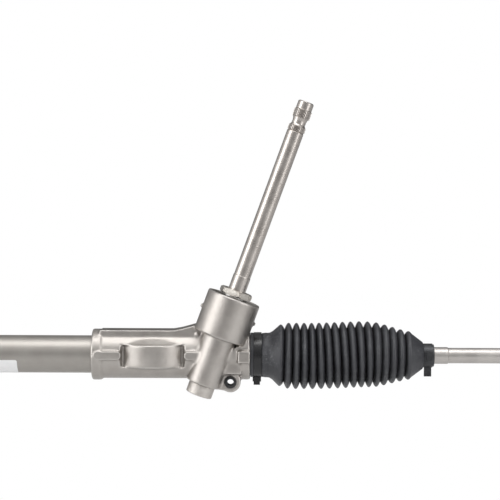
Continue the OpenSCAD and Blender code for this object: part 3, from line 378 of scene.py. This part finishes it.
def makeFinish(name):
    spec = finishes[name]
    paint = bpy.data.materials.new(name)
    paint.use_nodes = True
    tree = paint.node_tree
    shader = tree.nodes["Principled BSDF"]
    place = tree.nodes.new("ShaderNodeTexCoord").outputs["Object"]
    skin = tree.nodes.new("ShaderNodeGroup")
    skin.node_tree = skinGroup
    skin.inputs["Cloud Scale"].default_value = spec["cloud"]
    skin.inputs["Grit Scale"].default_value = spec["grit"]
    scuff = tree.nodes.new("ShaderNodeGroup")
    scuff.node_tree = scuffGroup
    scuff.inputs["Scale"].default_value = spec["scuffScale"]
    scuff.inputs["Amount"].default_value = spec["scuffAmount"]
    for group in (skin, scuff):
        tree.links.new(place, group.inputs["Vector"])
    tones = tree.nodes.new("ShaderNodeMix")
    tones.data_type = "RGBA"
    tones.inputs["A"].default_value = (*spec["base"], 1)
    tones.inputs["B"].default_value = (*spec["second"], 1)
    tree.links.new(skin.outputs["Cloud"], tones.inputs["Factor"])
    colour = addTone(tree, tones.outputs["Result"], scuff.outputs["Mask"], spec["scuff"])
    if "crease" in spec:
        # painted shade: creases and hollows darken by how sharply the surface bends in, and convex edges are
        # painted lighter
        bend = tree.nodes.new("ShaderNodeNewGeometry").outputs["Pointiness"]
        dark = addRange(tree, bend, *spec["crease"], spec["creaseShadeAmount"], 0.0)
        bright = addRange(tree, bend, *spec["rim"], 0.0, spec["rimAmount"])
        for amount, tone in ((dark, spec["creaseShadeTone"]), (bright, spec["rimTone"])):
            colour = addTone(tree, colour, amount, tone)
    if "valleyShadeTone" in spec:
        folds = tree.nodes.new("ShaderNodeAttribute")
        folds.attribute_name = "foldDepth"
        # the plain cuffs carry one fixed depth, and more chalky rubs than the folds
        onCuff = addMath(tree, "COMPARE", folds.outputs["Fac"], spec["cuffDepth"])
        onCuff.node.inputs[2].default_value = 0.01
        more = addMath(tree, "MULTIPLY", onCuff, spec["cuffScuffs"])
        tree.links.new(addMath(tree, "ADD", more, spec["scuffAmount"]), scuff.inputs["Amount"])
        # painted shade: the deeper in a fold valley, the darker the rubber
        deep = addRange(tree, folds.outputs["Fac"], *spec["valleyShadeFade"], 0.0, spec["valleyShadeAmount"])
        colour = addTone(tree, colour, deep, spec["valleyShadeTone"])
    tree.links.new(colour, shader.inputs["Base Color"])
    tree.links.new(addRange(tree, skin.outputs["Cloud"], 0, 1, *spec["rough"]), shader.inputs["Roughness"])
    shader.inputs["Metallic"].default_value = spec["metallic"]
    height = addMath(tree, "MULTIPLY", skin.outputs["Grit"], spec["bump"])
    if "rings" in spec:
        turned = tree.nodes.new("ShaderNodeMapping")
        turned.inputs["Rotation"].default_value = (0, math.radians(spec["lean"]), 0)
        tree.links.new(place, turned.inputs["Vector"])
        marks = tree.nodes.new("ShaderNodeGroup")
        marks.node_tree = turningGroup
        marks.inputs["Pitch"].default_value = spec["rings"]
        tree.links.new(turned.outputs[0], marks.inputs["Vector"])
        ridges = addMath(tree, "MULTIPLY", marks.outputs["Rings"], spec["ringBump"])
        height = addMath(tree, "ADD", height, ridges)
    bump = tree.nodes.new("ShaderNodeBump")
    bump.inputs["Distance"].default_value = mm
    tree.links.new(height, bump.inputs["Height"])
    tree.links.new(bump.outputs[0], shader.inputs["Normal"])
    return paint


paints = {name: makeFinish(name) for name in finishes}
nodeFinish = {
    "gear_housing": "castAluminium", "rack_tube": "tubePaint", "rack_bush": "whitePlastic",
    "lug_bush": "sealRubber", "bottom_cap": "capCast", "bottom_bush": "bronze",
    "bearing_outer_ring": "bearingSteel", "bearing_inner_ring": "bearingSteel",
    "bearing_balls": "bearingSteel", "bearing_cage": "bronze", "bearing_circlip": "blackSteel",
    "pinion_spacer": "groundSteel", "pinion_seal": "sealRubber", "pinion_nut": "nutZinc",
    "pinion_shaft": "shaftSteel", "yoke": "castAluminium", "yoke_liner": "whitePlastic",
    "yoke_o_ring": "sealRubber", "yoke_spring": "blackSteel", "yoke_plug": "capCast",
    "yoke_lock_nut": "blackSteel", "rack_bar": "groundSteel", "right_socket": "socketSteel",
    "left_socket": "socketSteel", "right_ball_seat": "whitePlastic", "left_ball_seat": "whitePlastic",
    "right_tie_rod": "rodSteel", "left_tie_rod": "rodSteel", "right_jam_nut": "yellowZinc",
    "left_jam_nut": "yellowZinc", "right_boot": "bootRubber", "left_boot": "bootRubber",
    "right_boot_strap": "strapPlastic", "left_boot_strap": "strapPlastic",
    "right_cuff_clamp": "clampSteel", "left_cuff_clamp": "clampSteel",
}
for nodeName, finishName in nodeFinish.items():
    for slot in nodes[nodeName].material_slots:
        slot.material = paints[finishName]
print("finishes on", len(nodeFinish), "pieces")

# rubber boots: one is spun from its section, then cut at its valleys into lengths
boot = {
    "rightFace": 367.1,  # mm, where the wide cuff starts; the boots run outwards from here
    "leftFace": -47.5,
    "firstCrest": 30.0,
    "pitch": 8.025,
    "crests": [30.8, 32.9] + [33.1] * 9 + [32.9, 32.2, 30.4, 28.2, 26.1, 24.3],
    "valley": 26.1,
    "valleyBelow": 5.0,  # least depth of a valley under its neighbours
    "roundness": 0.85,
    "wall": 1.3,
    "segments": 112,
    "wideCuff": [(18.75, 0.3), (22.2, 0.3), (22.2, 3.4), (21.35, 3.7), (21.35, 11.4), (21.9, 11.8),
                 (22.2, 14.5), (22.4, 16.0), (22.2, 16.5), (22.5, 19.5), (24.3, 22.5)],
    "smallCuff": [(13.5, 172.6), (12.1, 173.1), (10.65, 173.3), (10.65, 182.3), (11.1, 182.5), (11.1, 183.8),
                  (8.45, 183.8)],
    "cuts": [0, 2, 4, 7, 9, 11, 13, 15],  # folds after which a length ends
    "lean": [0.7, 0.55, 0.35, 0.0, -0.55, -1.15, -1.55, -1.7, -1.7, -1.7, -1.2, -0.7, 0.0, 0.5, 0.35,
             0.5, 0.35],  # mm that each fold's top stands outwards
    "leanRadius": 33,
    "rise": [-0.4, -0.8, -1.0, -1.0, -1.0, -0.8, -0.5, -0.2, 0.2, 0.6, 0.9, 0.9, 0.7, 0.4, 0.2, 0.0, 0.0],
    "length": 184,
    "calmEnd": 22,  # over this much of its outer end the lean and the rise fade out
    "still": 14.1,  # the cuff up to here stays with the housing
    "share": (0.098, 0.00935, 34),  # of the travel: at the first fold, more for each mm, where that starts
    "rodBend": 16,  # the outer end turns with the rod over this length
}


def crestAt(fold):
    return boot["firstCrest"] + fold * boot["pitch"]


def valleyRadius(fold):
    # the valley after this fold
    pair = boot["crests"][fold:fold + 2]
    return min(boot["valley"], sum(pair) / len(pair) - boot["valleyBelow"])


def bootSection():
    # outer skin from the wide cuff to the small one, then the inner skin back; points are (radius, distance)
    last = len(boot["crests"]) - 1
    steps = (-0.47, -0.42, -0.34, -0.25, -0.16, -0.08, 0.0, 0.08, 0.16, 0.25, 0.34, 0.42, 0.47)
    outer = list(boot["wideCuff"])
    inner = []
    for fold, crest in enumerate(boot["crests"]):
        before = valleyRadius(max(fold - 1, 0))
        after = valleyRadius(min(fold, last - 1))
        for step in steps:
            side = before if step < 0 else after
            if fold == 0 and step < -0.08 or fold == last and step > 0.16:
                continue
            height = math.cos(math.pi * step) ** boot["roundness"]
            outer.append((side + (crest - side) * height, crestAt(fold) + step * boot["pitch"]))
        inner.append((crest - boot["wall"], crestAt(fold)))
        if fold < last:
            middle = crestAt(fold) + 0.5 * boot["pitch"]
            outer.append((after, middle))
            inner.append((after - boot["wall"], middle))
    outer += [(22.6, crestAt(last) + 2.4), (21.6, crestAt(last) + 3.4)] + boot["smallCuff"]
    back = [(9.6, 172.4), (20.3, crestAt(last) + 3.0)] + inner[::-1]
    return outer + back + [(21.2, 19.8), (20.6, 15.0), (18.75, 13.2)]


def pullPoint(step):
    bpy.ops.mesh.extrude_vertices_move(TRANSFORM_OT_translate={"value": step, "orient_type": "GLOBAL"})


def spinSection(name, points, segments):
    # a closed section in mm, pulled point by point and spun about the X axis
    bpy.ops.object.select_all(action="DESELECT")
    places = [Vector((x * mm, 0, r * mm)) for r, x in points]
    bpy.ops.mesh.primitive_plane_add(size=0.001, location=places[0])
    piece = bpy.context.object
    piece.name = piece.data.name = name
    bpy.context.tool_settings.mesh_select_mode = (True, False, False)
    bpy.ops.object.mode_set(mode="EDIT")
    bpy.ops.mesh.select_all(action="SELECT")
    bpy.ops.mesh.merge(type="CENTER")
    for here, there in zip(places, places[1:]):
        pullPoint(there - here)
    bpy.ops.mesh.select_all(action="SELECT")
    bpy.ops.mesh.edge_face_add()
    bpy.ops.mesh.delete(type="ONLY_FACE")
    bpy.ops.mesh.select_all(action="SELECT")
    bpy.ops.mesh.spin(steps=segments, angle=math.tau, center=(0, 0, 0), axis=(1, 0, 0))
    bpy.ops.mesh.select_all(action="SELECT")
    bpy.ops.mesh.remove_doubles(threshold=0.00002)
    bpy.ops.mesh.normals_make_consistent(inside=False)
    bpy.ops.object.mode_set(mode="OBJECT")
    bpy.ops.object.transform_apply(location=True, rotation=True, scale=True)
    return piece


def between(values, distance):
    # value at a distance along the boot, from one value a fold
    place = (distance - boot["firstCrest"]) / boot["pitch"]
    low = int(max(0, min(math.floor(place), len(values) - 2)))
    part = max(0.0, min(place - low, 1.0))
    part = part * part * (3 - 2 * part)
    fade = max(0.0, min(distance / boot["firstCrest"], (boot["length"] - distance) / boot["calmEnd"], 1.0))
    return (values[low] * (1 - part) + values[low + 1] * part) * fade


def settleRubber(piece):
    # the folds lean and sag a little, and each point keeps how deep in a fold it lies, which the rubber's
    # painted valley shade reads
    depth = piece.data.attributes.new("foldDepth", "FLOAT", "POINT")
    for index, point in enumerate(piece.data.vertices):
        distance = point.co.x / mm
        radius = math.hypot(point.co.y, point.co.z) / mm
        fold = (distance - boot["firstCrest"]) / boot["pitch"]
        near = int(max(0, min(round(fold), len(boot["crests"]) - 1)))
        crest = boot["crests"][near]
        floor = valleyRadius(min(near, len(boot["crests"]) - 2))
        inFolds = -0.3 < fold < len(boot["crests"]) - 0.7
        deep = max(0.0, min((crest - radius) / (crest - floor), 1.0))
        depth.data[index].value = deep if inFolds else finishes["bootRubber"]["cuffDepth"]
        point.co.x += between(boot["lean"], distance) * point.co.z / boot["leanRadius"]
        point.co.z += between(boot["rise"], distance) * mm


def pickOnly(piece):
    bpy.ops.object.select_all(action="DESELECT")
    piece.select_set(True)
    bpy.context.view_layer.objects.active = piece


def selectParts(piece, kind, wanted):
    # into edit mode with only the wanted faces or edges selected
    bpy.context.tool_settings.mesh_select_mode = (False, kind == "edges", kind == "polygons")
    for part in piece.data.vertices:
        part.select = False
    for part in piece.data.edges:
        part.select = kind == "edges" and wanted(part)
    for part in piece.data.polygons:
        part.select = kind == "polygons" and wanted(part)
    bpy.ops.object.mode_set(mode="EDIT")


def cutLength(whole, name, low, high):
    # keeps the lengthwise stretch from low to high and closes both ends between the skins
    pickOnly(whole)
    bpy.ops.object.duplicate()
    piece = bpy.context.object
    piece.name = piece.data.name = name
    selectParts(piece, "polygons", lambda face: not low < face.center.x / mm < high)
    bpy.ops.mesh.delete(type="FACE")
    bpy.ops.object.mode_set(mode="OBJECT")
    points = piece.data.vertices
    for end in (low, high):
        ring = {point.index for point in points if abs(point.co.x / mm - end) < 0.01}
        if not ring:
            continue
        selectParts(piece, "edges", lambda edge: set(edge.vertices) <= ring)
        bpy.ops.mesh.bridge_edge_loops()
        bpy.ops.object.mode_set(mode="OBJECT")
    return piece


def placeBoot(piece, face, side):
    # stands the length on its side of the rack, with its place in the mesh
    for point in piece.data.vertices:
        point.co.x = face * mm + side * point.co.x
    pickOnly(piece)
    if side < 0:
        selectParts(piece, "polygons", lambda face: True)
        bpy.ops.mesh.flip_normals()
        bpy.ops.object.mode_set(mode="OBJECT")
    bpy.ops.object.shade_smooth_by_angle(angle=math.radians(48))


def makeBoot(side):
    word = "right" if side > 0 else "left"
    face = boot[word + "Face"]
    whole = spinSection("wholeBoot", bootSection(), boot["segments"])
    marks = [crestAt(fold) + 0.5 * boot["pitch"] for fold in boot["cuts"]]
    ends = [0.0] + marks + [boot["length"] + 6]
    for number, (low, high) in enumerate(zip(ends, ends[1:]), 1):
        piece = cutLength(whole, word + "Boot" + str(number), low, high)
        settleRubber(piece)
        placeBoot(piece, face, side)
        piece.data.materials.clear()
        piece.data.materials.append(paints["bootRubber"])
        if number == len(marks) + 1:
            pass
        elif number == len(marks):
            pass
        else:
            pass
        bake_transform(piece)
        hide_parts(word + "_boot")
    bpy.data.objects.remove(whole, do_unlink=True)


for side in (1, -1):
    makeBoot(side)
print("boots made")

# cast housing: the node's shape, remeshed so that its hollows run into each other softly as in a casting
casting = {
    "voxel": 0.00096,
    "allover": 3,  # smoothing passes over everything
    "hollowPasses": 34,
    "grow": 4,  # rings of points round a hollow that soften with it
    "flankPasses": 10,  # smoothing of the flanks between edges, which takes the source's facets out
    "softCopy": 14,  # smoothing passes of the copy that finds the hollows
    "hollow": (0.07, 0.19),  # mm from the soft copy: no hollow, full hollow
    "edge": (0.06, 0.12),  # mm from the soft copy: no edge, full edge
    "farShare": 0.3,  # how far the hollows away from the tower soften
    "pinion": (330.0, -14.955, 20.0),  # mm, mm, degrees of lean
    "barBore": 19.4,  # mm round each axis that stay as the source has them
    "pinionBore": 15,
    "cup": (15, 25),  # from this height, and this far out
    "yokeBore": (12, 19.5),  # from this depth, and this far out
    "tower": (16.5, 23, 22),  # mm from the pinion's axis, from and to, and up to this height
    "root": (20.5, 20, 27),  # mm from the pinion's axis, then from the bar's axis, from and to
}


def neighbourMean(values, ends, count):
    total = np.zeros_like(values)
    np.add.at(total, ends[:, 0], values[ends[:, 1]])
    np.add.at(total, ends[:, 1], values[ends[:, 0]])
    return total / (count[:, None] if values.ndim > 1 else count)


def shareBetween(values, low, high):
    return np.clip((values - low) / (high - low), 0, 1)


def softWeights(mesh):
    # two lists: 1 in the hollows round the tower, less in other hollows; and 1 on the flanks, 0 near an edge
    places = np.empty(len(mesh.vertices) * 3)
    mesh.vertices.foreach_get("co", places)
    places = places.reshape(-1, 3)
    normals = np.empty(len(mesh.vertices) * 3)
    mesh.vertices.foreach_get("normal", normals)
    normals = normals.reshape(-1, 3)
    ends = np.empty(len(mesh.edges) * 2, dtype=np.int64)
    mesh.edges.foreach_get("vertices", ends)
    ends = ends.reshape(-1, 2)
    count = np.bincount(ends.ravel(), minlength=len(places)).astype(float)
    # where a heavily smoothed copy stands proud of the surface, there is a hollow
    soft = places
    for _ in range(casting["softCopy"]):
        soft = neighbourMean(soft, ends, count)
    hollow = ((soft - places) * normals).sum(1) / mm
    for _ in range(3):
        hollow = neighbourMean(hollow, ends, count)
    points = places / mm
    pinionX, pinionY, lean = casting["pinion"]
    lean = math.radians(lean)
    away = points - np.array([pinionX, pinionY, 0])
    along = away[:, 0] * math.sin(lean) + away[:, 2] * math.cos(lean)
    across = away[:, 0] * math.cos(lean) - away[:, 2] * math.sin(lean)
    fromPinion = np.hypot(across, away[:, 1])
    fromBar = np.hypot(points[:, 1], points[:, 2])
    fromYoke = np.hypot(away[:, 0], points[:, 2])
    cupFrom, cupReach = casting["cup"]
    yokeFrom, yokeReach = casting["yokeBore"]
    towerInner, towerOuter, towerTop = casting["tower"]
    rootReach, rootLow, rootHigh = casting["root"]
    bore = (fromBar < casting["barBore"]) | (fromPinion < casting["pinionBore"])
    bore |= (along > cupFrom) & (fromPinion < cupReach)
    bore |= (points[:, 1] > yokeFrom) & (fromYoke < yokeReach)
    nearTower = (fromPinion > towerInner) & (fromPinion < towerOuter) & (along < towerTop)
    weight = np.where(nearTower, 1.0, casting["farShare"]) * shareBetween(hollow, *casting["hollow"])
    # the root of the tower softens all round, where it runs out over the bar's barrel
    root = nearTower & (fromPinion < rootReach) & (fromBar > rootLow) & (fromBar < rootHigh)
    weight = np.where(root, 1.0, weight)
    for _ in range(casting["grow"]):
        weight = np.maximum(weight, neighbourMean(weight, ends, count) * 1.1)
    edge = shareBetween(np.abs(hollow), *casting["edge"])
    edge = np.maximum(edge, neighbourMean(edge, ends, count) * 1.2)
    for _ in range(3):
        weight = neighbourMean(weight, ends, count)
        edge = neighbourMean(edge, ends, count)
    return np.clip(weight, 0, 1) * ~bore, np.clip(1 - 1.3 * edge, 0, 1) * ~bore


def useModifier(piece, kind, **settings):
    modifier = piece.modifiers.new(kind.lower(), kind)
    for name, value in settings.items():
        setattr(modifier, name, value)
    bpy.ops.object.modifier_apply(modifier=modifier.name)


def makeHousing():
    source = nodes["gear_housing"]
    mesh = source.data.copy()
    piece = bpy.data.objects.new("castHousing", mesh)
    bpy.context.scene.collection.objects.link(piece)
    mesh.name = "castHousing"
    pickOnly(piece)
    selectParts(piece, "polygons", lambda face: True)
    bpy.ops.mesh.remove_doubles(threshold=0.000002)
    bpy.ops.object.mode_set(mode="OBJECT")
    if mesh.has_custom_normals:
        bpy.ops.mesh.customdata_custom_splitnormals_clear()
    mesh.remesh_voxel_size = casting["voxel"]
    mesh.remesh_voxel_adaptivity = 0.0
    mesh.use_remesh_fix_poles = False
    mesh.use_remesh_preserve_volume = False
    mesh.use_remesh_preserve_attributes = False
    bpy.ops.object.voxel_remesh()
    useModifier(piece, "SMOOTH", factor=0.5, iterations=casting["allover"])
    passes = (casting["hollowPasses"], casting["flankPasses"])
    for name, weights, times in zip(("hollows", "flanks"), softWeights(piece.data), passes):
        group = piece.vertex_groups.new(name=name)
        for index in np.nonzero(weights > 0.02)[0]:
            group.add([int(index)], float(weights[index]), "REPLACE")
        useModifier(piece, "SMOOTH", factor=0.5, iterations=times, vertex_group=name)
    piece.vertex_groups.clear()
    bpy.ops.object.shade_smooth()
    piece.data.materials.clear()
    piece.data.materials.append(paints["castAluminium"])
    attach(piece, "housing")
    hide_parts("gear_housing")
    print("housing cast,", sum(len(face.vertices) - 2 for face in mesh.polygons), "triangles")


makeHousing()

# blank label stuck round the tube's front
label = {
    "x": (112.0, 136.0),  # mm along the tube
    "turn": (-72, -14),  # degrees below the tube's front line
    "radius": 18.7,
    "thick": 0.14,
    "lift": 0.02,  # its middle above the tube
    "corner": 1.8,
}


def makeLabel():
    bpy.ops.object.select_all(action="DESELECT")
    bpy.ops.mesh.primitive_grid_add(x_subdivisions=22, y_subdivisions=20, size=2)
    piece = bpy.context.object
    piece.name = piece.data.name = "blankLabel"
    low, high = label["x"]
    start, end = (math.radians(turn) for turn in label["turn"])
    halfLong = (high - low) / 2
    halfArc = (end - start) / 2 * label["radius"]
    for point in piece.data.vertices:
        flat = Vector((point.co.x * halfLong, point.co.y * halfArc))
        centre = Vector((halfLong - label["corner"], halfArc - label["corner"]))
        past = Vector((abs(flat.x), abs(flat.y))) - centre
        if past.x > 0 and past.y > 0 and past.length > label["corner"]:
            past *= label["corner"] / past.length
            corner = centre + past
            flat = Vector((math.copysign(corner.x, flat.x), math.copysign(corner.y, flat.y)))
        turn = (start + end) / 2 + flat.y / label["radius"]
        out = (label["radius"] + label["lift"]) * mm
        point.co = ((low + high) / 2 * mm + flat.x * mm, -out * math.cos(turn), out * math.sin(turn))
    pickOnly(piece)
    selectParts(piece, "polygons", lambda face: True)
    bpy.ops.mesh.normals_make_consistent(inside=False)
    bpy.ops.object.mode_set(mode="OBJECT")
    useModifier(piece, "SOLIDIFY", thickness=label["thick"] * mm, offset=0.0)
    bpy.ops.object.transform_apply(location=True, rotation=True, scale=True)
    bpy.ops.object.shade_smooth_by_angle(angle=math.radians(40))
    piece.data.materials.append(paints["labelPaper"])
    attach(piece, "housing")


makeLabel()
print("label stuck on")
